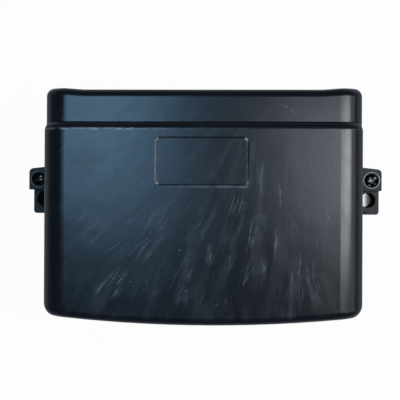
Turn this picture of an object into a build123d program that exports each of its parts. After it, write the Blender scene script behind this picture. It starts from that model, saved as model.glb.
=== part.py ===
"""Two-part moulded enclosure for electronics: a rear tray with mounting ears, and a front cover with
a stepped band across its top, a label recess and two screw ears. Sizes are in millimetres.
X runs across the box, Y runs up its face, and Z comes out of the front. The back lies in Z = 0."""

from build123d import *
import os
from math import cos, radians, sin, sqrt, tan

# Body outline, at the joint between the tray and the cover
body_width = 177.0
body_height = 131.6
bow_radius = 757.0
bottom_corner_radius = 7.8
top_corner_radius = 5.2
top_dip = 0.8
top_land_width = 11.5
top_slope_width = 11.0
top_blend_radius = 25.0

# Depths and walls
tray_depth = 24.0
cover_depth = 32.0
wall = 3.0
floor_thickness = 3.0
draft = 1.0
band_draft = 1.7
back_edge = 1.6
floor_corner = 1.5

# Front of the cover
band_edge_y = 46.3
band_step = 4.0
step_corner_radius = 5.5
band_edge_radius = 4.4
main_edge_radius = 4.3
shoulder_radius = 14.5
shoulder_angle = 62.0
shoulder_overrun = 10.0
least_corner_radius = 1.5

# Label recess in the front
label_width = 50.4
label_height = 25.7
label_centre_y = 24.5
label_depth = 0.6
label_corner_radius = 1.8
label_slope = 30.0
label_edge = 0.5
label_lip_slope = 30.0
label_lip_depth = 0.35

# Seal, its groove in the tray's rim, and the cover's ridge that presses it
groove_width = 1.3
groove_depth = 2.4
seal_height = 1.2
seal_side_gap = 0.05
ridge_side_gap = 0.15
ridge_end_gap = 0.05

# Ears of the cover, on both sides, placed by their length and the height of their screw
ear_length = 11.7
ear_above_screw = 6.0
ear_below_screw = 6.0
ear_rise = 1.5
ear_thickness = 10.0
ear_corner_radius = 2.5
ear_foot_radius = 0.8
ear_edge = 0.4
ear_root_depth = 1.5
screw_inset = 5.7
screw_y = 14.7
rim_radius = 5.1
rim_height = 0.5

# Lugs of the tray, below the ears, with the mounting holes
lug_setback = 0.4
lug_below_hole = 8.3
lug_corner_radius = 1.8
lug_notch_width = 3.8
lug_notch_height = 1.6
lug_notch_depth = 2.0
mount_hole_inset = 6.6
mount_hole_drop = 11.3
mount_hole_radius = 4.2
core_wall = 2.0
core_front = 6.0
core_corner_radius = 0.8
screw_boss_wall = 1.5
core_web = 2.0

# Cover screws: pan head, cross recess, thread-forming
screw_head_radius = 3.5
screw_head_height = 2.5
screw_head_crown = 1.0
screw_top_radius = 2.4
screw_head_gap = 0.55
screw_seat_height = 5.6
screw_radius = 1.75
screw_length = 18.0
screw_point = 2.4
screw_hole_gap = 0.05
screw_clearance = 0.3
screw_bottom_gap = 1.5
recess_span = 4.0
recess_width = 1.0
recess_depth = 1.7
screw_turns = {-1: 26.0, 1: 20.0}

# Bosses for a circuit board, and ribs
board_holes_x = 130.0
board_holes_y = 84.0
boss_radius = 4.0
boss_height = 7.0
boss_hole_radius = 1.3
boss_hole_depth = 6.5
rib_width = 1.6
floor_rib_height = 2.0
cover_rib_height = 2.5
cover_rib_rows = (-42.0, -14.0)

# Worked out from the sizes above
joint_z = tray_depth
front_z = tray_depth + cover_depth
band_z = front_z - band_step
ear_front_z = joint_z + ear_thickness
seat_z = joint_z + screw_seat_height
screw_hole_radius = screw_radius + screw_hole_gap
groove_inset = (wall - groove_width) / 2
half_height = body_height / 2
reach = body_width
ear_reach = body_width / 2 + ear_length
ear_bottom = screw_y - ear_below_screw
ear_outer_top = screw_y + ear_above_screw
ear_wall_top = ear_outer_top + ear_rise
screw_x = ear_reach - screw_inset
mount_hole_x = ear_reach - mount_hole_inset
mount_hole_y = screw_y - mount_hole_drop
lug_bottom = mount_hole_y - lug_below_hole
sides = (-1, 1)


def side_x(z, angle):
    """Half the body's width at a height: both mouldings narrow away from the joint."""
    return body_width / 2 - abs(z - joint_z) * tan(radians(angle))


def bow_y(x, inset):
    """The bowed bottom edge, at a distance x from the middle."""
    centre_y = bow_radius - half_height
    return centre_y - sqrt((bow_radius - inset) ** 2 - x**2)


def near(shape, x, y):
    """The vertex of a sketch that lies nearest to a point."""
    return shape.vertices().sort_by_distance(Vector(x, y, 0))[0]


def top_line(half, inset, top_y):
    """The corners of the outline's top, from right to left. Where top_y is given the top is a
    straight edge there, and otherwise its middle lies a little lower than its two ends."""
    if top_y is not None:
        return [(half, top_y - inset), (-half, top_y - inset)]
    top = half_height - inset
    land_start = body_width / 2 - top_land_width
    right = [(half, top), (land_start, top), (land_start - top_slope_width, top - top_dip)]
    return right + [(-x, y) for x, y in reversed(right)]


def plan(inset, top_y=None, top_radius=top_corner_radius):
    """The body's outline at the joint, drawn in from its edge by inset."""
    half = body_width / 2 - inset
    foot = bow_y(half, inset)
    top = top_line(half, inset, top_y)
    edges = Polyline((half, foot), *top, (-half, foot)).edges()
    edges.append(ThreePointArc((-half, foot), (0, bow_y(0, inset)), (half, foot)))
    face = make_face(edges)
    for x, y in top[1:-1]:
        face = fillet(near(face, x, y), top_blend_radius)
    for x in (-half, half):
        face = fillet(near(face, x, top[0][1]), max(top_radius - inset, least_corner_radius))
        face = fillet(near(face, x, foot), bottom_corner_radius - inset)
    return face


def drawn(face, z, depth, taper=0.0):
    """A sketch set at height z and drawn by depth, up or, where depth is negative, down."""
    solid = extrude(face, amount=abs(depth), dir=(0, 0, 1), taper=taper)
    if depth < 0:
        solid = mirror(solid, about=Plane.XY)
    return Pos(0, 0, z) * solid


def post(x, y, z, radius, height):
    """An upright cylinder whose foot lies at height z."""
    return Pos(x, y, z) * Cylinder(radius, height, align=(Align.CENTER, Align.CENTER, Align.MIN))


def shoulder(edge, front, radius, angle):
    """The middle and end of an arc that falls away from a flat front, and its start. It meets a
    wall at distance edge from the middle at the given angle, and runs on a little past it."""
    start = edge - radius * sin(radians(angle))
    past = radians(angle + shoulder_overrun)
    turns = (past / 2, past)
    points = [(start + radius * sin(turn), front - radius * (1 - cos(turn))) for turn in turns]
    return start, *points


def side_section(inset, front, angle):
    """The form across the body: a flat front with a rounded shoulder at each side."""
    front = front - inset
    radius = shoulder_radius - inset
    drop = radius * (1 - cos(radians(shoulder_angle)))
    edge = side_x(front - drop, angle) - inset
    start, bend, end = shoulder(edge, front, radius, shoulder_angle)
    left_bend, left_end = [(-x, z) for x, z in (bend, end)]
    box = Polyline(end, (reach, end[1]), (reach, 0), (-reach, 0), (-reach, end[1]), left_end)
    edges = box.edges()
    edges.append(Line((-start, front), (start, front)))
    edges.append(ThreePointArc((start, front), bend, end))
    edges.append(ThreePointArc(left_end, left_bend, (-start, front)))
    return extrude(Plane.XZ * make_face(edges), amount=reach, both=True)


def is_wall(face):
    """True for the outside walls, which stand nearly upright."""
    return abs(face.normal_at().Z) < sin(radians(band_draft)) * 1.5


def front_rim(solid):
    """The edges where the front of a form meets its upright walls."""
    walls = [face for face in solid.faces() if is_wall(face)]
    fronts = [face for face in solid.faces() if not is_wall(face) and face.normal_at().Z > 0]
    wall_edges = {edge for face in walls for edge in face.edges()}
    return [edge for face in fronts for edge in face.edges() if edge in wall_edges]


def cover_form(inset):
    """The cover's outer form, or its hollow where inset is the wall: a band, with the thicker
    main part of the cover below it."""
    step_y = band_edge_y + cover_depth * tan(radians(draft))
    band = drawn(plan(inset), joint_z, cover_depth + 1, band_draft)
    main = drawn(plan(inset, step_y, step_corner_radius), joint_z, cover_depth + 1, draft)
    band = band & side_section(inset, band_z, band_draft)
    main = main & side_section(inset, front_z, draft)
    if inset == 0:
        band = fillet(front_rim(band), band_edge_radius)
        main = fillet(front_rim(main), main_edge_radius)
    return band + main


def tray_form(inset, z):
    """The tray's outer form, or its hollow, from the joint down to height z."""
    form = drawn(plan(inset), joint_z, z - joint_z, draft)
    return chamfer(form.faces().sort_by(Axis.Z)[0].edges(), floor_corner if inset else back_edge)


def rim_band(near_inset, far_inset):
    """A band that runs round the rim between two insets."""
    return plan(near_inset) - plan(far_inset)


def side_outline(side, out, foot, outer_top, wall_top, foot_radius):
    """The outline of an ear or a lug, whose top slopes up towards the body. Its root lies inside
    the body's wall."""
    root = body_width / 2 - ear_root_depth
    corners = [(root, foot), (out, foot), (out, outer_top), (root, wall_top)]
    face = make_face(Polyline(*[(side * x, y) for x, y in corners], close=True).edges())
    face = fillet(near(face, side * out, outer_top), ear_corner_radius)
    face = fillet(near(face, side * out, foot), foot_radius)
    return face


def cover_ear(side):
    """One ear of the cover, with a raised rim round its screw."""
    outline = side_outline(side, ear_reach, ear_bottom, ear_outer_top, ear_wall_top, ear_foot_radius)
    ear = drawn(outline, joint_z, ear_thickness)
    ear = chamfer(ear.faces().sort_by(Axis.Z)[-1].edges(), ear_edge)
    return ear + post(side * screw_x, screw_y, seat_z, rim_radius, ear_front_z + rim_height - seat_z)


def label_recess():
    """The shallow form cut for the label. Its walls slope, and lean out further at their edge."""
    outline = RectangleRounded(label_width, label_height, label_corner_radius)
    recess = drawn(outline, front_z, -label_depth, label_slope)
    spread = 2 * label_edge
    mouth = RectangleRounded(label_width + spread, label_height + spread, label_corner_radius + label_edge)
    lip = drawn(mouth, front_z, -label_lip_depth, 90 - label_lip_slope)
    return Pos(0, label_centre_y) * (recess + lip)


def ear_holes(side):
    """The well for a cover screw's head, and the clearance hole below it."""
    x = side * screw_x
    well = post(x, screw_y, seat_z, screw_head_radius + screw_head_gap, ear_thickness)
    hole = post(x, screw_y, 0, screw_radius + screw_clearance, front_z)
    return well + hole


def cover_ribs(form):
    """Stiffening ribs across the inside of the front, cut to the hollow's form."""
    ribs = Part()
    ceiling = front_z - wall
    for y in cover_rib_rows:
        bar = Pos(0, y, ceiling - cover_rib_height / 2) * Box(body_width, rib_width, cover_rib_height)
        ribs += bar
    return ribs & form


def front_cover():
    """The cover: a hollow form with ears, label recess, ribs and the ridge that presses the seal."""
    hollow = cover_form(wall)
    body = cover_form(0)
    for side in sides:
        body += cover_ear(side)
    body -= hollow
    body += cover_ribs(hollow)
    for side in sides:
        body -= ear_holes(side)
    body -= label_recess()
    ridge_inset = groove_inset + ridge_side_gap
    ridge_height = groove_depth - seal_height - ridge_end_gap
    ridge = drawn(rim_band(ridge_inset, wall - ridge_inset), joint_z, -ridge_height)
    return body + ridge


def tray_lug(side):
    """One lug of the tray, which carries the cover's ear and the mounting hole."""
    out = ear_reach - lug_setback
    tops = (ear_outer_top - lug_setback, ear_wall_top - lug_setback)
    lug = drawn(side_outline(side, out, lug_bottom, *tops, lug_corner_radius), 0, tray_depth)
    notch_x = side * (body_width / 2 + lug_notch_width / 2)
    notch_y = lug_bottom + lug_notch_height / 2
    size = (lug_notch_width, lug_notch_height, lug_notch_depth)
    return lug - Pos(notch_x, notch_y, tray_depth - lug_notch_depth / 2) * Box(*size)


def lug_core(side):
    """The pocket moulded into a lug from the back, round the post for the cover screw."""
    inner = body_width / 2 + core_wall / 2
    outer = ear_reach - lug_setback - core_wall
    low = mount_hole_y + mount_hole_radius + core_wall
    high = ear_outer_top - lug_setback - core_wall
    pocket = Pos(side * (inner + outer) / 2, (low + high) / 2)
    pocket *= RectangleRounded(outer - inner, high - low, core_corner_radius)
    pocket -= Pos(side * screw_x, screw_y) * Circle(screw_hole_radius + screw_boss_wall)
    web = Rectangle(ear_reach - screw_x, core_web, align=(Align.MIN, Align.CENTER))
    pocket -= Pos(side * screw_x, screw_y) * Rot(0, 0, 0 if side > 0 else 180) * web
    return drawn(pocket, 0, tray_depth - core_front)


def lug_holes(side):
    """The mounting hole right through a lug, and the blind hole for the cover screw."""
    mount_hole = post(side * mount_hole_x, mount_hole_y, 0, mount_hole_radius, tray_depth)
    depth = screw_length - screw_seat_height + screw_bottom_gap
    screw_hole = post(side * screw_x, screw_y, joint_z - depth, screw_hole_radius, depth)
    return mount_hole + screw_hole


def floor_ribs():
    """Ribs along the floor that join the bosses in a frame."""
    ribs = Part()
    height = floor_thickness / 2 + floor_rib_height
    z = floor_thickness / 2
    low = (Align.CENTER, Align.CENTER, Align.MIN)
    for side in sides:
        ribs += Pos(0, side * board_holes_y / 2, z) * Box(board_holes_x, rib_width, height, align=low)
        ribs += Pos(side * board_holes_x / 2, 0, z) * Box(rib_width, board_holes_y, height, align=low)
    return ribs


def rear_tray():
    """The tray: an open box with lugs, board bosses, ribs and the seal's groove in its rim."""
    body = tray_form(0, 0)
    for side in sides:
        body += tray_lug(side)
    body -= tray_form(wall, floor_thickness)
    body += floor_ribs()
    places = [(x * board_holes_x / 2, y * board_holes_y / 2) for x in sides for y in sides]
    for x, y in places:
        body += post(x, y, floor_thickness / 2, boss_radius, floor_thickness / 2 + boss_height)
    top = floor_thickness + boss_height
    for x, y in places:
        body -= post(x, y, top - boss_hole_depth, boss_hole_radius, boss_hole_depth)
    for side in sides:
        body -= lug_core(side) + lug_holes(side)
    return body - drawn(rim_band(groove_inset, wall - groove_inset), joint_z, -groove_depth)


def rim_seal():
    """The rubber cord in the rim's groove."""
    inset = groove_inset + seal_side_gap
    return drawn(rim_band(inset, wall - inset), joint_z - groove_depth, seal_height)


def cross_recess(top):
    """The cross in a screw's head."""
    cross = Rectangle(recess_span, recess_width) + Rectangle(recess_width, recess_span)
    return drawn(cross, top, -recess_depth)


def cover_screw(side):
    """A pan-head screw, from its point to the recess in its head."""
    tip = -screw_length
    crown = screw_head_height - screw_head_crown
    shank = [(0, tip), (screw_radius, tip + screw_point), (screw_radius, 0)]
    head = [(screw_head_radius, 0), (screw_head_radius, crown), (screw_top_radius, screw_head_height)]
    corners = [*shank, *head, (0, screw_head_height)]
    body = revolve(Plane.XZ * make_face(Polyline(*corners, close=True)), Axis.Z)
    body -= cross_recess(screw_head_height)
    return Pos(side * screw_x, screw_y, seat_z) * Rot(0, 0, screw_turns[side]) * body


pieces = {
    "rear_tray": rear_tray(),
    "front_cover": front_cover(),
    "rim_seal": rim_seal(),
    "cover_screw_left": cover_screw(-1),
    "cover_screw_right": cover_screw(1),
}
os.makedirs("parts", exist_ok=True)
for name, piece in pieces.items():
    piece.label = name
    export_step(piece, f"parts/{name}.step")
    print(name, "volume", round(piece.volume), "mm3")
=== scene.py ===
import bmesh
import bpy
from math import cos, pi, radians, sin
from mathutils import Matrix, Vector


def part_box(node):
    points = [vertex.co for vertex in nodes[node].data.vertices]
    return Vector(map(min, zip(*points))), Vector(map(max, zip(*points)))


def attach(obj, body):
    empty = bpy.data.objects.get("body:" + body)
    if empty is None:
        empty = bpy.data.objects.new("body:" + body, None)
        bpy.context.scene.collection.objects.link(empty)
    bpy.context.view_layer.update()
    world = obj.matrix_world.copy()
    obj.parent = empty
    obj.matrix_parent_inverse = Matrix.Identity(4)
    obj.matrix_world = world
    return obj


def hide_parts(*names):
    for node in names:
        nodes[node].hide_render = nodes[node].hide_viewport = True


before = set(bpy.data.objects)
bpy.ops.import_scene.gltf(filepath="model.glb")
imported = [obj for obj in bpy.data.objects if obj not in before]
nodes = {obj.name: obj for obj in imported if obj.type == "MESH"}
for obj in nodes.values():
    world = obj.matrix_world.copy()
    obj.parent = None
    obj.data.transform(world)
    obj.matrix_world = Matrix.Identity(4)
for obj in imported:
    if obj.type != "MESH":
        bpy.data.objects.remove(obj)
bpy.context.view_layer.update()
scene = bpy.context.scene

# Camera, looking down on the front of the box as it lies on its back. Its place is in metres and
# its turns are in degrees.
FOCAL_MM = 81.0
SENSOR_MM = 36.0
CAMERA_PLACE = (0.03276, 0.00765, 0.54382)
CLIP_START = 0.01
YAW = 1.92
PITCH = -0.11
ROLL = -0.27
SHIFT = (-0.0796, -0.0236)

# Light: level soft panels over the front, with a dark gap between them. Each has a name, the middle
# of its left edge and its size in metres, its turn about that point in degrees, its radiance and
# its colour.
PANEL_HEIGHT = 1.25
SOFT_WHITE = (0.93, 0.96, 1.0)
PALE_BLUE = (0.76, 0.85, 1.0)
COOL_BLUE = (0.33, 0.65, 1.0)
PANELS = (
    ("key", (0.66, 0.034), (0.87, 0.31), 4, 12.5, SOFT_WHITE),
    ("key_near", (0.26, 0.01), (0.4, 0.31), 4, 9.5, SOFT_WHITE),
    ("key_edge", (0.09, 0.052), (0.17, 0.28), 14, 4.8, PALE_BLUE),
    ("wing", (1.52, 0.1), (2.95, 1.2), 0, 1.3, SOFT_WHITE),
    ("fill", (-0.36, 0.202), (0.2, 0.43), 0, 7.4, COOL_BLUE),
    ("fill_low", (-0.36, -0.088), (0.25, 0.15), 0, 1.3, COOL_BLUE),
    ("fill_edge", (-0.6, 0.202), (0.24, 0.43), 0, 3.2, COOL_BLUE))

# The dim room round it: its strength at some heights, in degrees, and its colour
ROOM = ((0.0, 0.25), (10.0, 0.15), (30.0, 0.1), (90.0, 0.07))
ROOM_COLOUR = (0.65, 0.9, 1.2, 1)

# The floor, in metres, and how white it and the world are to the camera and in reflections
FLOOR_HALF = 20.0
FLOOR_HEIGHT = -0.0002
FLOOR_PAINT = (0.55, 0.55, 0.55, 1)
WHITE = (1, 1, 1, 1)
FLOOR_SEEN = 0.97
FLOOR_REFLECTED = 0.15
WORLD_SEEN = 0.98

# Where the parts of the box begin, in millimetres, each over a short stretch: the front past its
# rounded edge, the face round the label recess above the recess's floor, the band across the top,
# the front's upper edge from below and from above, the ears and lugs, and the rims of the wells.
# The last is the whole box, over which the painted highlights on the wells' rims and in the
# screws' recesses grow brighter from left to right, as the light falls from the right.
FRONT_Z = (49.0, 51.5)
PROUD_Z = (55.5, 55.9)
BAND_Y = (43.0, 45.5)
EDGE_LOWER_Y = (41.3, 41.8)
EDGE_UPPER_Y = (42.9, 42.4)
EAR_X = (88.4, 89.4)
WELL_RIM_Z = (34.1, 34.4)
PAINTED_LIGHT_LEFT_TO_RIGHT = (-90.0, 90.0)

# The label recess, in millimetres
LABEL_HALF = (25.2, 12.85)
LABEL_CENTRE_Y = 24.5

# The mounting holes at both sides, in millimetres: their place and radius, where the painted
# shade on their walls, a dark colour, and the painted shade on the floor at their foot end, and
# where that floor shade grows towards the outer wall
HOLE_PLACE = (93.6, 3.4)
HOLE_RADIUS = 4.2
HOLE_WALL_SHADE = (HOLE_RADIUS + 0.1, HOLE_RADIUS + 0.35)
HOLE_SHADE = (HOLE_RADIUS + 0.3, HOLE_RADIUS + 0.9)
HOLE_SHADE_X = (92.6, 96.8)
HOLE_SHADE_MOST = 0.93

# Where the right cover screw's head sits, in millimetres, and how far the screws are turned
SCREW_PLACE = (94.5, 14.7, 29.6)
SCREW_TURNS = {"left": 26.0, "right": 20.0}

# A screw's head, in millimetres from its underside: its profile as radius and height, and the
# recess as height, arm and half width at its foot, shoulder and mouth, with arms that narrow
# outwards to a share of their width
HEAD = ((3.3, 0.0), (3.5, 0.15), (3.5, 0.95), (3.42, 1.32), (3.2, 1.68), (2.78, 2.02), (2.2, 2.28),
        (1.4, 2.44), (0.7, 2.49))
HEAD_TOP = 2.5
RECESS = ((0.6, 0.5, 0.3), (0.95, 1.15, 0.36), (2.8, 2.05, 0.6))
ARM_TAPER = 0.8

# Its shank, in millimetres: radii, length with the point, the point's blunt tip, and the thread,
# with its profile over one pitch as shares of its height, the bare neck above it, and the lengths
# over which it runs in and out
CORE_RADIUS = 1.2
CREST_RADIUS = 1.72
SCREW_LENGTH = 18.0
POINT_LENGTH = 2.4
TIP_RADIUS = 0.5
TIP_HEIGHT = 0.75
THREAD = (0.0, 0.08, 0.4, 0.85, 1.0, 1.0, 0.85, 0.4, 0.08, 0.0)
THREAD_LOW = POINT_LENGTH - SCREW_LENGTH
THREAD_PITCH = 1.3
THREAD_RUN_IN = 1.2
THREAD_RUN_OUT = 0.8
NECK = 0.5

# Its mesh: the steps in a turn, a radius that stands for the axis and the distance at which points
# become one, in millimetres, and the largest angle that is shaded smooth, in degrees
TURN_STEPS = 32
ON_AXIS = 0.0001
MERGE_DISTANCE = 0.0004
SMOOTH_ANGLE = 38.0

# How the head's top falls off: its height near the centre, in millimetres, and the drop for each
# square millimetre outwards. What lies lower than this is inside the recess.
DOME_TOP = HEAD_TOP - 0.05
DOME_DROP = 0.045

# Where the front is worn, in millimetres: place, half width, half height, strength. The scuffs are
# streaks that fan out from FAN_CENTRE above the front, the smudges are cloudy, and the dots are
# small chips. An oval fades between the two of OVAL_EDGE, which are squares of its size.
FAN_CENTRE = (42.0, 84.0)
OVAL_EDGE = (0.1, 1.6)
SCUFFS = (
    (-49.5, -42.0, 9.0, 8.0, 1.0), (-30.5, -13.0, 11.0, 16.0, 0.75), (-48.7, -30.0, 9.0, 15.0, 0.5),
    (-59.5, -10.0, 15.0, 11.0, 0.4), (-10.6, -39.0, 7.0, 14.0, 0.8), (15.2, -29.0, 3.5, 10.0, 0.8),
    (20.4, -5.0, 4.0, 11.0, 0.7), (28.3, -17.0, 3.0, 13.0, 1.0), (41.0, -17.0, 2.6, 13.0, 0.8),
    (30.0, -36.0, 7.0, 10.0, 0.6), (54.7, -37.0, 6.5, 13.5, 1.0), (62.0, -48.0, 3.5, 8.0, 0.8),
    (69.0, -3.5, 2.4, 7.0, 0.9), (43.8, 8.5, 1.8, 9.0, 0.8), (-57.0, 31.0, 19.0, 10.0, 0.3))
SMUDGES = (
    (31.5, 19.5, 2.4, 8.0, 0.7), (-3.8, -13.0, 9.0, 7.0, 0.45), (4.4, -27.5, 2.4, 7.5, 0.6),
    (7.0, 15.8, 5.5, 2.6, 0.6), (34.0, -6.5, 7.0, 3.0, 0.6), (-8.0, 14.0, 3.0, 2.0, 0.3),
    (-27.0, -6.0, 7.0, 6.0, 0.4), (-50.0, 50.0, 30.0, 6.0, 0.3), (-64.0, 20.0, 12.0, 9.0, 0.4),
    (-43.0, 9.0, 12.0, 6.0, 0.35), (-58.0, -14.0, 14.0, 9.0, 0.35), (30.0, -36.0, 7.0, 9.0, 0.35),
    (56.0, -38.0, 7.0, 11.0, 0.4), (34.0, -14.0, 6.0, 9.0, 0.4))
DOTS = (
    (-38.6, -41.4, 0.5, 0.4, 0.7), (-29.9, -40.8, 0.6, 0.5, 0.5), (-12.0, -24.0, 0.45, 0.4, 1.0),
    (-8.2, -46.3, 0.5, 0.6, 0.9), (2.2, -53.4, 0.5, 0.5, 0.7), (-40.5, 23.6, 1.0, 0.35, 0.4))

# The streaks' patterns, fine, broad and wiped: changes for each radian round FAN_CENTRE and for
# each millimetre away from it, layer, detail, roughness
STREAKS = ((85.0, 0.045, 0.0, 4.0, 0.65), (38.0, 0.04, 7.0, 3.0, 0.6), (16.0, 0.03, 3.0, 4.0, 0.6))

# Single scratches: place, half length, slope in degrees, strength. The band has a curved one, an
# arc round a centre that shows near its own place.
SCRATCH_WIDTH = 0.36
SCRATCHES = (
    (-46.4, -38.6, 5.6, 56, 0.9), (-42.7, -39.3, 4.5, 49, 0.9), (-46.6, -22.3, 7.4, 37, 0.6),
    (1.0, -50.0, 3.0, 70, 0.5), (8.5, -54.0, 2.6, 24, 0.45), (14.0, -51.5, 2.5, 118, 0.4),
    (-34.4, -22.3, 6.9, 44, 0.6), (-19.9, -9.9, 5.4, 51, 0.6), (-35.7, -5.8, 7.7, 46, 0.4),
    (-57.0, -7.0, 6.8, 30, 0.35), (-30.1, 6.4, 1.8, 33, 0.5), (0.4, -8.7, 3.4, 58, 0.5),
    (5.6, -25.7, 3.9, 86, 0.7), (16.3, -28.5, 3.0, 80, 0.6), (17.0, -0.4, 6.2, 69, 0.5),
    (21.6, -0.9, 4.6, 72, 0.45), (27.1, -15.6, 9.1, 79, 0.7), (40.7, -17.8, 8.7, 88, 0.6),
    (43.4, 7.3, 6.8, 91, 0.8), (69.7, -6.0, 4.0, 115, 0.9), (63.3, -19.3, 2.4, 94, 0.9),
    (54.2, -32.3, 7.8, 88, 0.7), (61.2, -35.7, 6.3, 94, 0.5), (24.7, -40.1, 3.4, 60, 0.8),
    (33.2, 10.7, 3.4, 90, 0.6), (-31.3, -24.0, 8.0, 55, 0.5), (-28.3, -16.9, 8.6, 55, 0.4))
ARC_CENTRE = (40.0, 42.0)
ARC_PLACE = (48.5, 52.5, 5.5, 4.5, 0.7)

# Painted glints on the screws' heads, drawn as spots where the black plate is chipped bright, in
# millimetres
GLINT_SPOTS = ((97.0, 16.1, 0.75, 0.6, 1.0), (-93.8, 16.4, 0.5, 0.4, 0.9), (93.6, 12.0, 0.5, 0.4, 0.6),
         (-96.9, 14.0, 0.4, 0.5, 0.35), (96.6, 12.6, 0.4, 0.6, 0.5), (-93.0, 12.2, 0.5, 0.4, 0.3))

# Soft lines, in millimetres: how far from the label's edge or from a centre, and the half widths
# where a line is still full and where it ends
LABEL_SIDE_LINE = (0.1, 0.1, 0.6)
LABEL_FOOT_LINE = (1.5, 0.3, 0.95)
# The corner line is a painted glint.
LABEL_CORNER_GLINT = (-1.2, 0.3, 1.3)
ARC_LINE = (13.8, 0.1, 0.5)
# The wells' rim line is rubbed wear with a painted highlight on it.
WELL_RIM_WEAR_AND_HIGHLIGHT = (4.5, 0.1, 0.45)
HEAD_RIM_LINE = (3.3, 0.05, 0.25)

# Where the label's lines and the painted glints at its corners end, in millimetres past its edge,
# and how far below its middle its lower line begins
LABEL_SIDE_END = (-0.2, 0.3)
LABEL_FOOT_END = (0.0, 0.5)
LABEL_FOOT_BELOW = (0.0, -8.0)
LABEL_CORNER_GLINT_START = (-2.2, -1.2)
LABEL_CORNER_GLINT_END = (0.3, 0.8)

# Where the wear, the upper edge's painted highlight and the sheen change from left to right and up
# the front, in millimetres
HATCH_X = (-30.0, 10.0)
LABEL_FOOT_X = (-25.0, 25.0)
EDGE_WEAR_AND_HIGHLIGHT_X = (-45.0, -12.0)
SHEEN_Y = (20.0, 48.0)

# The screws' bright places, in millimetres: how far below the dome and from the centre the recess
# is rubbed and carries a painted highlight, and from which heights the head and its painted glints
# show
RUBBED_AND_HIGHLIGHT_BELOW = (0.02, 0.2)
RUBBED_AND_HIGHLIGHT_REACH = (2.0, 2.4)
HEAD_Z = (SCREW_PLACE[2], SCREW_PLACE[2] + 0.4)
GLINT_Z = (SCREW_PLACE[2] + 0.6, SCREW_PLACE[2] + 0.9)

# Depths of the fine relief, in metres
SINK_RELIEF = 0.00035
WEAR_RELIEF = 0.00006
GRAIN_RELIEF = 0.00003
SEAL_RELIEF = 0.00004
PLATE_RELIEF = 0.00003

# How strongly the wear shows, as a pale film over the black and as bare bright plastic. The bare
# places also carry painted highlights, together with wear on the wells' rims and the upper edge,
# and as painted glints at the label's corners.
FILM = {"scuffs": 0.75, "label": 0.8, "specks": 0.35, "smudges": 0.5, "scratches": 0.38,
        "sheen": 0.13, "ears": 0.22}
BARE_AND_HIGHLIGHTS = {"rings": 0.75, "label": 0.9, "edge": 0.5, "scratches": 0.1}

# Colours, where a pair is mixed by a pattern
HOUSING_BLACKS = ((0.0045, 0.0055, 0.0075, 1), (0.007, 0.008, 0.0105, 1))
HOUSING_IOR = 1.45
FILM_GREY = (0.135, 0.16, 0.185, 1)
# The bare grey is worn plastic, and also paints highlights and glints on the housing's edges.
BARE_AND_HIGHLIGHT_GREY = (0.45, 0.44, 0.43, 1)
# The near-black paints shade on the mounting holes' walls.
HOLE_SHADE_BLACK = (0.002, 0.002, 0.002, 1)
SEAL_BLACKS = ((0.017, 0.017, 0.018, 1), (0.035, 0.034, 0.033, 1))
PLATE_BLACKS = ((0.012, 0.012, 0.014, 1), (0.03, 0.03, 0.034, 1))
# The steel greys are bared steel, and in the screws' recesses also a painted highlight.
STEEL_AND_HIGHLIGHT_GREYS = ((0.4, 0.4, 0.41, 1), (0.9, 0.9, 0.92, 1))
# The white paints glints on the screws' heads.
GLINT_WHITE = (0.95, 0.95, 0.95, 1)


def camera_rows(yaw, pitch, roll):
    """The camera's right, up and back directions, as the rows of a matrix."""
    y, p, r = radians(yaw), radians(pitch), radians(roll)
    turn_y = Matrix(((cos(y), 0, -sin(y)), (0, 1, 0), (sin(y), 0, cos(y))))
    turn_x = Matrix(((1, 0, 0), (0, cos(p), -sin(p)), (0, sin(p), cos(p))))
    turn_z = Matrix(((cos(r), -sin(r), 0), (sin(r), cos(r), 0), (0, 0, 1)))
    return turn_z @ turn_x @ turn_y


def make_camera():
    data = bpy.data.cameras.new("camera")
    data.lens = FOCAL_MM
    data.sensor_width = SENSOR_MM
    data.shift_x, data.shift_y = SHIFT
    data.clip_start = CLIP_START
    camera = bpy.data.objects.new("camera", data)
    turn = camera_rows(YAW, PITCH, ROLL).transposed()
    camera.matrix_world = Matrix.Translation(CAMERA_PLACE) @ turn.to_4x4()
    scene.collection.objects.link(camera)
    scene.camera = camera


def panel_light(name, left, size, turn, radiance, colour):
    """A level soft panel that faces down onto the front of the box."""
    data = bpy.data.lights.new(name, "AREA")
    data.shape = "RECTANGLE"
    data.size, data.size_y = size
    data.energy = radiance * pi * size[0] * size[1]
    data.color = colour
    light = bpy.data.objects.new(name, data)
    reach = Matrix.Rotation(radians(turn), 3, "Z") @ Vector((size[0] / 2, 0, 0))
    light.location = Vector((left[0], left[1], PANEL_HEIGHT)) + reach
    light.rotation_euler = (0, 0, radians(turn))
    scene.collection.objects.link(light)


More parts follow.
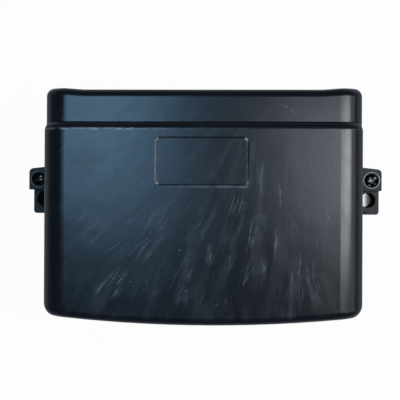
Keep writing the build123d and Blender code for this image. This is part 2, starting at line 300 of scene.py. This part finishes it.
class Shader:
    """A short way to write a node tree."""

    def __init__(self, owner):
        self.owner = owner
        owner.use_nodes = True
        self.tree = owner.node_tree
        self.tree.nodes.clear()

    def add(self, kind, inputs=None, **settings):
        node = self.tree.nodes.new(kind)
        for key, value in settings.items():
            setattr(node, key, value)
        for key, value in (inputs or {}).items():
            self.put(node.inputs[key], value)
        return node

    def put(self, socket, value):
        if isinstance(value, bpy.types.NodeSocket):
            self.tree.links.new(value, socket)
        else:
            socket.default_value = value

    def math(self, operation, a, b=0.0, c=0.0):
        return self.add("ShaderNodeMath", {0: a, 1: b, 2: c}, operation=operation).outputs[0]

    def chain(self, operation, values):
        """Several values joined by one operation, from left to right."""
        total = values[0]
        for value in values[1:]:
            total = self.math(operation, total, value)
        return total

    def times(self, *values):
        return self.chain("MULTIPLY", values)

    def plus(self, *values):
        return self.chain("ADD", values)

    def most(self, *values):
        return self.chain("MAXIMUM", values)

    def minus(self, a, b):
        return self.math("SUBTRACT", a, b)

    def absolute(self, value):
        return self.math("ABSOLUTE", value)

    def step(self, value, low, high, start=0.0, end=1.0):
        """A smooth change from start to end as a value goes from low to high."""
        inputs = {"Value": value, "From Min": low, "From Max": high, "To Min": start, "To Max": end}
        node = self.add("ShaderNodeMapRange", inputs, interpolation_type="SMOOTHSTEP")
        return node.outputs[0]

    def fall(self, value, low, high):
        """A smooth change from one to nought as a value goes from low to high."""
        return self.step(value, low, high, 1.0, 0.0)

    def point(self, x, y, z=0.0):
        return self.add("ShaderNodeCombineXYZ", {0: x, 1: y, 2: z}).outputs[0]

    def parts(self, vector):
        return tuple(self.add("ShaderNodeSeparateXYZ", {0: vector}).outputs)

    def noise(self, vector, scale=1.0, detail=2.0, rough=0.5):
        inputs = {"Vector": vector, "Scale": scale, "Detail": detail, "Roughness": rough}
        return self.add("ShaderNodeTexNoise", inputs).outputs["Fac"]

    def blend(self, factor, a, b):
        """One colour over another."""
        node = self.add("ShaderNodeMix", data_type="RGBA")
        self.put(node.inputs[0], factor)
        self.put(node.inputs[6], a)
        self.put(node.inputs[7], b)
        return node.outputs[2]

    def millimetres(self):
        """Object coordinates in millimetres."""
        inputs = {0: self.add("ShaderNodeTexCoord").outputs["Object"], 1: (1000, 1000, 1000)}
        return self.add("ShaderNodeVectorMath", inputs, operation="MULTIPLY").outputs[0]

    def distance(self, x, y, place):
        """How far a point lies from a place, looking at the front."""
        across, along = self.minus(x, place[0]), self.minus(y, place[1])
        return self.math("SQRT", self.plus(self.times(across, across), self.times(along, along)))

    def side_distance(self, x, y, place):
        """How far a point lies from a place that both sides of the box have."""
        return self.distance(self.absolute(x), y, place)

    def line(self, value, at):
        """A soft line, of the given place and half widths, where it is full and where it ends."""
        centre, full, end = at
        return self.fall(self.absolute(self.minus(value, centre)), full, end)

    def spot(self, x, y, at):
        """A soft oval, of the given place, half width, half height and strength."""
        centre_x, centre_y, half_width, half_height, strength = at
        across = self.math("DIVIDE", self.minus(x, centre_x), half_width)
        along = self.math("DIVIDE", self.minus(y, centre_y), half_height)
        far = self.plus(self.times(across, across), self.times(along, along))
        return self.step(far, *OVAL_EDGE, strength, 0.0)

    def spots(self, x, y, places):
        return self.most(*[self.spot(x, y, at) for at in places])

    def scratch(self, x, y, at):
        """A thin soft line, of the given place, half length, slope and strength."""
        centre_x, centre_y, half_length, slope, strength = at
        way_x, way_y = cos(radians(slope)), sin(radians(slope))
        start_along = centre_x * way_x + centre_y * way_y
        start_across = centre_y * way_x - centre_x * way_y
        along = self.plus(self.times(x, way_x), self.times(y, way_y))
        across = self.minus(self.times(y, way_x), self.times(x, way_y))
        oval = (start_along, start_across, half_length, SCRATCH_WIDTH, strength)
        return self.spot(along, across, oval)

    def bump(self, height, distance, strength, normal=None):
        """A relief of the given depth in metres, over another one where that is given."""
        inputs = {"Height": height, "Distance": distance, "Strength": strength}
        if normal:
            inputs["Normal"] = normal
        return self.add("ShaderNodeBump", inputs).outputs[0]

    def seen(self):
        """One for what the camera sees, straight or through a clear thing, and nought otherwise."""
        path = self.add("ShaderNodeLightPath").outputs
        return self.most(path["Is Camera Ray"], path["Is Transmission Ray"])

    def finish(self, node, kind="ShaderNodeOutputMaterial"):
        self.add(kind, {"Surface": node.outputs[0]})
        return self.owner


def floor_material():
    """White to the camera, with a faint shadow kept, pale in reflections, and shaded at the foot of
    the mounting holes towards their outer walls."""
    s = Shader(bpy.data.materials.new("floor"))
    x, y = s.parts(s.millimetres())[:2]
    glossy = s.add("ShaderNodeLightPath").outputs["Is Glossy Ray"]
    share = s.most(s.times(s.seen(), FLOOR_SEEN), s.times(glossy, FLOOR_REFLECTED))
    shade = s.times(s.fall(s.side_distance(x, y, HOLE_PLACE), *HOLE_SHADE),
                    s.step(s.absolute(x), *HOLE_SHADE_X, 0.0, HOLE_SHADE_MOST))
    share = s.times(share, s.minus(1.0, shade))
    paint = s.add("ShaderNodeBsdfDiffuse", {"Color": FLOOR_PAINT})
    glow = s.add("ShaderNodeEmission", {"Color": WHITE, "Strength": 1.0})
    mix = s.add("ShaderNodeMixShader", {0: share, 1: paint.outputs[0], 2: glow.outputs[0]})
    return s.finish(mix)


def make_floor():
    mesh = bpy.data.meshes.new("floor")
    corners = [(-FLOOR_HALF, -FLOOR_HALF), (FLOOR_HALF, -FLOOR_HALF),
               (FLOOR_HALF, FLOOR_HALF), (-FLOOR_HALF, FLOOR_HALF)]
    mesh.from_pydata([(x, y, FLOOR_HEIGHT) for x, y in corners], [], [(0, 1, 2, 3)])
    floor = bpy.data.objects.new("floor", mesh)
    mesh.materials.append(floor_material())
    scene.collection.objects.link(floor)


def make_world():
    """A dim room with a pale horizon, by how high a ray looks, and white to the camera."""
    world = bpy.data.worlds.new("studio")
    scene.world = world
    s = Shader(world)
    height = s.parts(s.add("ShaderNodeTexCoord").outputs["Generated"])[2]
    level = ROOM[0][1]
    for (low, before), (high, after) in zip(ROOM, ROOM[1:]):
        change = s.step(height, sin(radians(low)), sin(radians(high)), 0.0, after - before)
        level = s.plus(change, level)
    room = s.add("ShaderNodeBackground", {"Color": ROOM_COLOUR, "Strength": level})
    white = s.add("ShaderNodeBackground", {"Color": WHITE, "Strength": WORLD_SEEN})
    mix = s.add("ShaderNodeMixShader", {0: s.seen(), 1: room.outputs[0], 2: white.outputs[0]})
    s.finish(mix, "ShaderNodeOutputWorld")


def fan_streaks(s, place, x, y):
    """A fine hatch, broad lines and soft wipes, along lines that spread from FAN_CENTRE."""
    turn = s.math("ARCTAN2", s.minus(y, FAN_CENTRE[1]), s.minus(FAN_CENTRE[0], x))
    turn = s.math("MULTIPLY_ADD", s.noise(place, 0.02, 1.0), 0.09, turn)
    far = s.distance(x, y, FAN_CENTRE)
    fine, broad, wipes = [
        s.noise(s.point(s.times(turn, round_it), s.times(far, outwards), layer), 1.0, detail, rough)
        for round_it, outwards, layer, detail, rough in STREAKS]
    return s.step(fine, 0.52, 0.68), s.step(broad, 0.5, 0.74), wipes


def front_wear(s, place, x, y):
    """Scuffs, smudges, the wipes that lie over all of the front, and the scuffs' fine hatch."""
    fine, broad, wipes = fan_streaks(s, place, x, y)
    worn = s.spots(x, y, SCUFFS)
    broken = s.step(s.noise(place, 0.1, 3.0, 0.6), 0.36, 0.62, 0.3, 1.0)
    streaks = s.plus(s.times(fine, s.step(broad, 0.0, 0.6, 0.45, 1.0)), s.times(broad, 0.45))
    thin = s.times(fine, s.step(x, *HATCH_X, 0.13, 0.06))
    scuffs = s.times(s.plus(s.times(streaks, worn), thin), broken)
    cloud = s.plus(s.times(s.noise(place, 0.13, 3.0, 0.55), 0.7), s.times(wipes, 0.8),
                   s.times(broad, 0.3))
    smudges = s.times(s.spots(x, y, SMUDGES), s.step(cloud, 0.6, 1.25))
    return scuffs, smudges, wipes, s.times(fine, worn)


def label_lines_and_glints(s, place, x, y):
    """Thin pale lines on the label recess's sides and below it, and painted glints at its corners.
    """
    rise = s.minus(y, LABEL_CENTRE_Y)
    across = s.minus(s.absolute(x), LABEL_HALF[0])
    along = s.minus(s.absolute(rise), LABEL_HALF[1])
    wobble = s.noise(place, 0.12)
    sides = s.times(s.line(s.plus(across, wobble), LABEL_SIDE_LINE),
                    s.step(along, *LABEL_SIDE_END, 0.65, 0.0))
    foot = s.times(s.line(s.plus(along, wobble), LABEL_FOOT_LINE),
                   s.fall(across, *LABEL_FOOT_END), s.step(rise, *LABEL_FOOT_BELOW, 0.0, 0.95),
                   s.step(x, *LABEL_FOOT_X, 0.35, 1.0))
    broken = s.step(s.noise(place, 0.25, 3.0, 0.6), 0.38, 0.6, 0.3, 0.8)
    # Painted glints at the recess's corners
    corners = s.times(s.line(s.plus(across, along, wobble), LABEL_CORNER_GLINT),
                      s.times(s.step(s.math("MINIMUM", across, along), *LABEL_CORNER_GLINT_START),
                              s.step(s.noise(place, 0.6), 0.42, 0.56),
                              s.fall(s.most(across, along), *LABEL_CORNER_GLINT_END)))
    return s.times(s.most(sides, foot), broken), corners


def single_scratches(s, place, x, y):
    """Thin scratches that break up along their length, and a curved one on the band."""
    wave_x = s.math("MULTIPLY_ADD", s.noise(place, 0.15, 1.0), 1.6, x)
    lines = s.most(*[s.scratch(wave_x, y, at) for at in SCRATCHES])
    arc = s.times(s.line(s.distance(x, y, ARC_CENTRE), ARC_LINE), s.spot(x, y, ARC_PLACE))
    broken = s.step(s.noise(place, 0.6, 3.0, 0.6), 0.36, 0.6, 0.15, 1.0)
    return s.times(s.most(lines, arc), broken)


def upper_edge(s, x, y):
    """Wear and a painted highlight along the front's upper edge, most on its left."""
    edge = s.times(s.step(y, *EDGE_LOWER_Y), s.step(y, *EDGE_UPPER_Y))
    flaws = s.noise(s.point(s.times(x, 0.16), s.times(y, 0.9)), 1.0, 4.0, 0.7)
    return s.times(edge, s.step(flaws, 0.44, 0.6), s.step(x, *EDGE_WEAR_AND_HIGHLIGHT_X, 1.0, 0.12))


def side_parts(s, place, x, y, z):
    """The ears and lugs, the rims of the screw wells, rubbed and with a painted highlight that
    grows to the right, and painted shade on the mounting holes' walls.
    """
    ears = s.step(s.absolute(x), *EAR_X)
    # The wells' rims: rubbed wear with a painted highlight, brighter to the right, where the light
    # falls from
    rings = s.times(s.line(s.side_distance(x, y, SCREW_PLACE), WELL_RIM_WEAR_AND_HIGHLIGHT),
                    s.step(z, *WELL_RIM_Z), s.step(s.noise(place, 0.4), 0.3, 0.6, 0.5, 1.0),
                    s.step(x, *PAINTED_LIGHT_LEFT_TO_RIGHT, 0.3, 1.0))
    # Painted shade on the holes' walls
    hole_wall_shade = s.fall(s.side_distance(x, y, HOLE_PLACE), *HOLE_WALL_SHADE)
    return ears, s.times(rings, ears), s.times(hole_wall_shade, ears)


def housing_material():
    """Black satin moulding with a fine grain, wiped scuffs that fan out over the front, smudges,
    worn edges and specks, painted highlights and glints on some edges, painted shade in the
    mounting holes, and with coarser, dustier ears."""
    s = Shader(bpy.data.materials.new("housing"))
    place = s.millimetres()
    x, y, z = s.parts(place)
    front = s.step(z, *FRONT_Z)
    main = s.times(front, s.fall(y, *BAND_Y))
    proud = s.times(main, s.step(z, *PROUD_Z, 0.15, 1.0))

    # What wears it, and the painted highlights, glints and shade, each from none to full
    scuffs, smudges, wipes, hatch = front_wear(s, place, x, y)
    scratches = s.times(single_scratches(s, place, x, y), front)
    specks = s.times(s.step(s.noise(place, 1.0, 1.0), 0.78, 0.82),
                     s.step(s.noise(place, 0.06, 1.0), 0.4, 0.6))
    dots = s.times(s.spots(x, y, DOTS), s.step(s.noise(place, 1.2), 0.4, 0.5))
    label_lines, label_corner_glints = label_lines_and_glints(s, place, x, y)
    sheen = s.times(s.step(wipes, 0.4, 0.75),
                    s.step(s.noise(place, 0.035), 0.35, 0.65, 0.3, 1.0),
                    s.step(y, *SHEEN_Y, 1.0, 0.35))
    ears, rings, hole_wall_shade = side_parts(s, place, x, y, z)
    dust = s.times(s.step(s.noise(place, 0.7, 4.0, 0.7), 0.5, 0.7), ears)

    # The black, a pale film over it, bare edges with painted highlights and glints over that, and
    # painted shade on the holes' walls
    label = s.times(s.plus(s.times(label_lines, FILM["label"]), dots), main)
    marks = s.plus(s.times(scuffs, proud, FILM["scuffs"]), label, s.times(specks, FILM["specks"]),
                   s.times(smudges, front, FILM["smudges"]), s.times(scratches, FILM["scratches"]))
    film = s.plus(marks, s.times(sheen, proud, FILM["sheen"]), s.times(dust, FILM["ears"]))
    bare_and_highlights = s.plus(s.times(rings, BARE_AND_HIGHLIGHTS["rings"]), s.times(label_corner_glints, main, BARE_AND_HIGHLIGHTS["label"]),
                  s.times(upper_edge(s, x, y), front, BARE_AND_HIGHLIGHTS["edge"]),
                  s.times(scratches, BARE_AND_HIGHLIGHTS["scratches"]))
    colour = s.blend(s.noise(place, 0.02), *HOUSING_BLACKS)
    colour = s.blend(film, colour, FILM_GREY)
    colour = s.blend(bare_and_highlights, colour, BARE_AND_HIGHLIGHT_GREY)
    colour = s.blend(hole_wall_shade, colour, HOLE_SHADE_BLACK)

    # The gloss, and the relief of the moulding, of the wear and of the grain
    rough = s.math("MULTIPLY_ADD", s.noise(place, 0.35, 3.0), 0.05, 0.175)
    rough = s.math("MULTIPLY_ADD", s.times(sheen, front), 0.1, rough)
    rough = s.plus(rough, s.times(marks, 0.3), s.times(ears, 0.3), s.times(hole_wall_shade, 0.4))
    normal = s.bump(s.noise(place, 0.045), SINK_RELIEF, 0.35)
    normal = s.bump(s.plus(s.times(wipes, 0.3), s.times(hatch, 0.15)), WEAR_RELIEF, 0.4, normal)
    normal = s.bump(s.noise(place, 3.2, 3.0, 0.6), GRAIN_RELIEF, 0.35, normal)
    return s.finish(s.add("ShaderNodeBsdfPrincipled", {
        "Base Color": colour, "Roughness": rough, "Normal": normal, "IOR": HOUSING_IOR}))


def seal_material():
    """Matt black rubber with a dusty bloom and a fine grain."""
    s = Shader(bpy.data.materials.new("seal"))
    place = s.millimetres()
    bloom = s.step(s.noise(place, 0.5, 3.0), 0.4, 0.7)
    colour = s.blend(bloom, *SEAL_BLACKS)
    rough = s.math("MULTIPLY_ADD", bloom, 0.12, 0.68)
    normal = s.bump(s.noise(place, 5.0, 3.0), SEAL_RELIEF, 0.5)
    return s.finish(s.add("ShaderNodeBsdfPrincipled", {
        "Base Color": colour, "Roughness": rough, "Normal": normal}))


def screw_material():
    """Black-plated steel, rubbed bright on the head's rim and inside the recess where a driver has
    turned it, with a painted highlight in the recess that grows to the right, and painted glints
    drawn as pale chips."""
    s = Shader(bpy.data.materials.new("screw"))
    place = s.millimetres()
    x, y, z = s.parts(place)
    far = s.side_distance(x, y, SCREW_PLACE)
    head = s.step(z, *HEAD_Z)
    dome = s.minus(SCREW_PLACE[2] + DOME_TOP, s.times(far, far, DOME_DROP))
    # The recess: rubbed wear with a painted highlight, brighter to the right, where the light falls
    # from
    recess_wear_and_highlight = s.times(s.step(s.minus(dome, z), *RUBBED_AND_HIGHLIGHT_BELOW), s.fall(far, *RUBBED_AND_HIGHLIGHT_REACH), head,
                     s.step(x, *PAINTED_LIGHT_LEFT_TO_RIGHT, 0.4, 1.0))
    rim = s.times(s.line(far, HEAD_RIM_LINE), s.step(s.noise(place, 0.5), 0.5, 0.6), head)
    # Painted glints on the head, drawn as white chips
    glints = s.times(s.spots(x, y, GLINT_SPOTS), s.step(z, *GLINT_Z))
    bared_and_highlights = s.most(recess_wear_and_highlight, glints, s.times(rim, 0.6))
    rub = s.step(s.noise(place, 1.4, 4.0, 0.65), 0.45, 0.65)
    colour = s.blend(bared_and_highlights, s.blend(rub, *PLATE_BLACKS), s.blend(rub, *STEEL_AND_HIGHLIGHT_GREYS))
    colour = s.blend(glints, colour, GLINT_WHITE)
    metal = s.minus(1.0, s.times(glints, 0.9))
    rough = s.math("MULTIPLY_ADD", s.noise(place, 2.2, 3.0), 0.2, 0.24)
    rough = s.math("MULTIPLY_ADD", bared_and_highlights, 0.35, rough)
    normal = s.bump(s.noise(place, 6.0), PLATE_RELIEF, 0.4)
    return s.finish(s.add("ShaderNodeBsdfPrincipled", {
        "Base Color": colour, "Roughness": rough, "Normal": normal, "Metallic": metal}))


def dress(node, material):
    slots = nodes[node].data.materials
    slots.clear()
    slots.append(material)


def thread_radius(row, z):
    """The radius of a row of the thread's profile at a height, faded out at both ends."""
    run_in = (z - THREAD_LOW) / THREAD_RUN_IN
    run_out = -(z + NECK) / THREAD_RUN_OUT
    height = THREAD[row % len(THREAD)] * max(0.0, min(1.0, run_in, run_out))
    return CORE_RADIUS + (CREST_RADIUS - CORE_RADIUS) * height


def screw_mesh(name):
    """A screw of one closed skin: a point, a helical thread, and a domed head."""
    bm = bmesh.new()
    per = len(THREAD)
    high = 0.0
    rows = int((high - THREAD_LOW) / THREAD_PITCH * per) + 2 * per + 2

    def corner(row, step):
        """A row of the profile climbs one pitch, and so becomes the row above, in each turn."""
        row, step = row + per * (step // TURN_STEPS), step % TURN_STEPS
        z = THREAD_LOW - THREAD_PITCH + (row / per + step / TURN_STEPS) * THREAD_PITCH
        z = min(high, max(THREAD_LOW, z))
        return ring_point(thread_radius(row, z), z, step)

    def ring_point(radius, z, step):
        turn = 2 * pi * step / TURN_STEPS
        return (radius * cos(turn), radius * sin(turn), z)

    def quad(points):
        verts = [bm.verts.new(point) for point in points]
        bm.faces.new(verts)

    for row in range(rows):
        for step in range(TURN_STEPS):
            quad([corner(row, step), corner(row, step + 1),
                  corner(row + 1, step + 1), corner(row + 1, step)])
    point = [(ON_AXIS, -SCREW_LENGTH), (TIP_RADIUS, TIP_HEIGHT - SCREW_LENGTH),
             (CORE_RADIUS, THREAD_LOW)]
    head = [(CORE_RADIUS, high), *HEAD, (ON_AXIS, HEAD_TOP)]
    for profile in (point, head):
        for (r0, z0), (r1, z1) in zip(profile, profile[1:]):
            for step in range(TURN_STEPS):
                quad([ring_point(r0, z0, step), ring_point(r0, z0, step + 1),
                      ring_point(r1, z1, step + 1), ring_point(r1, z1, step)])
    bmesh.ops.remove_doubles(bm, verts=bm.verts, dist=MERGE_DISTANCE)
    bmesh.ops.dissolve_degenerate(bm, edges=bm.edges, dist=MERGE_DISTANCE)
    return finished_mesh(bm, name)


def recess_cutter():
    """The tapered cross that a driver fits, wide at its mouth and narrow at its foot."""
    bm = bmesh.new()
    rings = []
    for z, arm, half in RECESS:
        ring = []
        for turn in range(4):
            c, s = cos(turn * pi / 2), sin(turn * pi / 2)
            for x, y in ((arm, -half * ARM_TAPER), (arm, half * ARM_TAPER), (half, half)):
                ring.append(bm.verts.new((x * c - y * s, x * s + y * c, z)))
        rings.append(ring)
    for lower, upper in zip(rings, rings[1:]):
        for i in range(len(lower)):
            j = (i + 1) % len(lower)
            bm.faces.new((lower[i], lower[j], upper[j], upper[i]))
    bm.faces.new(rings[0])
    bm.faces.new(rings[-1])
    return finished_mesh(bm, "recess")


def finished_mesh(bm, name):
    """A mesh from a closed skin, with its faces turned outwards."""
    bmesh.ops.recalc_face_normals(bm, faces=bm.faces)
    mesh = bpy.data.meshes.new(name)
    bm.to_mesh(mesh)
    bm.free()
    return mesh


def make_screw(side, material):
    """A threaded cover screw in place of the plain CAD one."""
    node = "cover_screw_" + side
    low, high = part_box(node)
    seat = high[2] - HEAD_TOP / 1000
    place = Vector(((low[0] + high[0]) / 2, (low[1] + high[1]) / 2, seat))
    screw = bpy.data.objects.new("screw_" + side, screw_mesh("screw_" + side))
    cutter = bpy.data.objects.new("cutter_" + side, recess_cutter())
    for obj in (screw, cutter):
        scene.collection.objects.link(obj)
    cut = screw.modifiers.new("recess", "BOOLEAN")
    cut.operation = "DIFFERENCE"
    cut.solver = "EXACT"
    cut.object = cutter
    bpy.context.view_layer.update()
    graph = bpy.context.evaluated_depsgraph_get()
    mesh = bpy.data.meshes.new_from_object(screw.evaluated_get(graph))
    screw.modifiers.clear()
    bpy.data.objects.remove(cutter)
    turn = Matrix.Rotation(radians(SCREW_TURNS[side]), 4, "Z")
    mesh.transform(Matrix.Translation(place) @ Matrix.Scale(0.001, 4) @ turn)
    mesh.shade_smooth()
    mesh.set_sharp_from_angle(angle=radians(SMOOTH_ANGLE))
    mesh.materials.clear()
    mesh.materials.append(material)
    screw.data = mesh
    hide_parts(node)
    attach(screw, "cover")


make_camera()
make_world()
make_floor()
for panel in PANELS:
    panel_light(*panel)
housing = housing_material()
dress("rear_tray", housing)
dress("front_cover", housing)
dress("rim_seal", seal_material())
steel = screw_material()
make_screw("left", steel)
make_screw("right", steel)

scene.view_settings.view_transform = "Standard"
